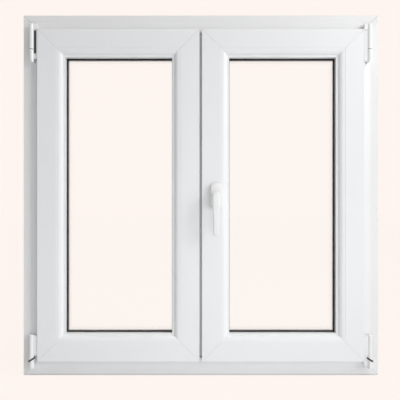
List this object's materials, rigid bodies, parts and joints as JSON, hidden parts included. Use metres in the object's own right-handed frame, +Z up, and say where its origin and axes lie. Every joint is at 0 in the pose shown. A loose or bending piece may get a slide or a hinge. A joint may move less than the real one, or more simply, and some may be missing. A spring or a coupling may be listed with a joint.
{
  "type": "pvc window",
  "caption": "White PVC casement window with two glazed leaves, rounded beads, meeting mullion, corner hinges and a turning lever handle.",
  "frame": {"origin": "middle of the sill's underside, at half the frame's depth", "axes": "+Z up, +X to the right as seen from the room, -Y towards the room"},
  "size_m": [0.985, 0.1371, 1],
  "materials": {
    "frame_pvc": "smooth white, welded corners",
    "bead_pvc": "smooth white",
    "cap_plastic": "moulded white",
    "glass": "clear float glass",
    "spacer_bar": "mill finish",
    "seal_rubber": "matt black",
    "handle_white": "white powder coat",
    "hinge_white": "white covers"
  },
  "bodies": {
    "window": {"drain_caps": "cap_plastic", "floating_mullion": "frame_pvc", "frame_head": "frame_pvc", "frame_jamb_left": "frame_pvc", "frame_jamb_right": "frame_pvc", "frame_seal": "seal_rubber", "frame_sill": "frame_pvc", "handle_rose": "handle_white", "left_bead_bottom": "bead_pvc", "left_bead_hinge": "bead_pvc", "left_bead_meeting": "bead_pvc", "left_bead_top": "bead_pvc", "left_glazing_seals": "seal_rubber", "left_lap_seal": "seal_rubber", "left_leaf_bottom_rail": "frame_pvc", "left_leaf_hinge_stile": "frame_pvc", "left_leaf_meeting_stile": "frame_pvc", "left_leaf_top_rail": "frame_pvc", "left_lower_hinge_bearing": "hinge_white", "left_lower_hinge_knuckle": "hinge_white", "left_pane_inner": "glass", "left_pane_outer": "glass", "left_spacer": "spacer_bar", "left_upper_hinge_bearing": "hinge_white", "left_upper_hinge_knuckle": "hinge_white", "mullion_end_caps": "cap_plastic", "mullion_seals": "seal_rubber", "right_bead_bottom": "bead_pvc", "right_bead_hinge": "bead_pvc", "right_bead_meeting": "bead_pvc", "right_bead_top": "bead_pvc", "right_glazing_seals": "seal_rubber", "right_lap_seal": "seal_rubber", "right_leaf_bottom_rail": "frame_pvc", "right_leaf_hinge_stile": "frame_pvc", "right_leaf_meeting_stile": "frame_pvc", "right_leaf_top_rail": "frame_pvc", "right_lower_hinge_bearing": "hinge_white", "right_lower_hinge_knuckle": "hinge_white", "right_pane_inner": "glass", "right_pane_outer": "glass", "right_spacer": "spacer_bar", "right_upper_hinge_bearing": "hinge_white", "right_upper_hinge_knuckle": "hinge_white"},
    "handle": {"handle_lever": "handle_white"}
  },
  "joints": [
    {"name": "handle_turn", "type": "hinge", "parent": "window", "child": "handle", "pos_m": [0.041, -0.061, 0.5], "axis": [0, -1, 0], "range_deg": [0, 180]}
  ]
}
